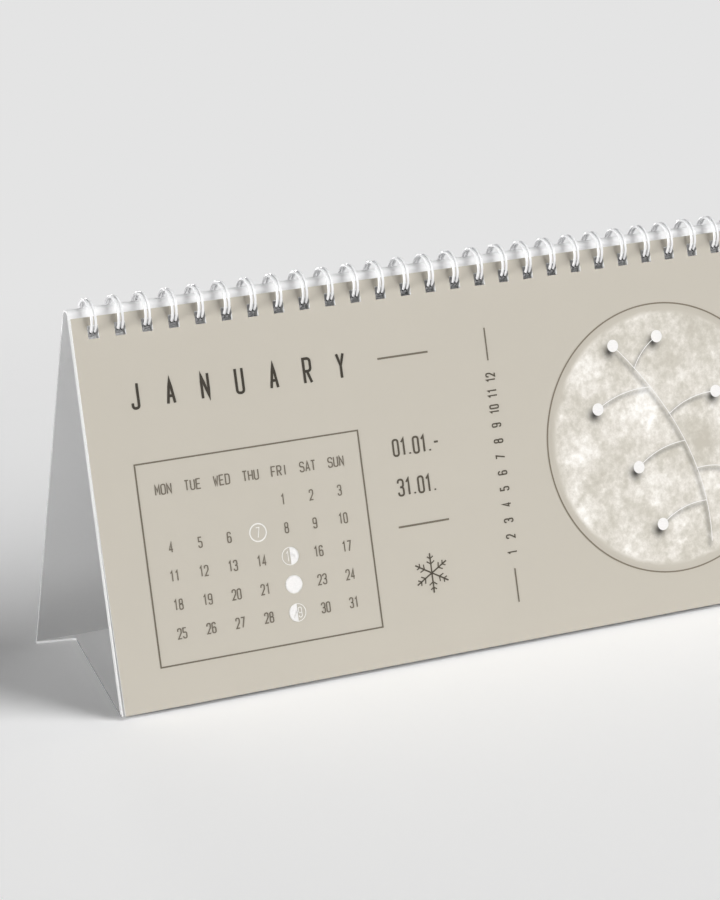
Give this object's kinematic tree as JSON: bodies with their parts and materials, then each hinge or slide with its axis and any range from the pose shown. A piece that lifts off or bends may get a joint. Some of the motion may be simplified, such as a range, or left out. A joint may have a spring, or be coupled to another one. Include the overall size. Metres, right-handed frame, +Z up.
{
  "type": "desk calendar",
  "caption": "Tent-shaped desk calendar: a folded card stand holds loose leaves that hang on a wire comb along its ridge and turn over it.",
  "frame": {"origin": "middle of the underside of the base, in the plane of the table", "axes": "+X along the calendar's width to the right of its printed face, +Y from the printed face to the back, +Z up"},
  "size_m": [0.25, 0.0755, 0.1187],
  "materials": {
    "easel_card": "smooth white card, matte",
    "wire": "white-lacquered round wire, satin",
    "leaves": "uncoated white paper with crisp cut edges",
    "front_leaf": "uncoated paper printed pale warm beige, matte"
  },
  "bodies": {
    "stand": {"easel_card": "easel_card", "wire_comb": "wire"},
    "leaves": {"leaf_block": "leaves"},
    "front_leaf": {"front_leaf": "front_leaf"}
  },
  "joints": [
    {"name": "leaves_swing", "type": "hinge", "parent": "stand", "child": "leaves", "pos_m": [0, -0.00461, 0.11301], "axis": [-1, 0, 0], "range_deg": [0, 12]},
    {"name": "front_leaf_turn", "type": "hinge", "parent": "leaves", "child": "front_leaf", "pos_m": [0, -0.00432, 0.11294], "axis": [-1, 0, 0], "range_deg": [0, 155]}
  ]
}
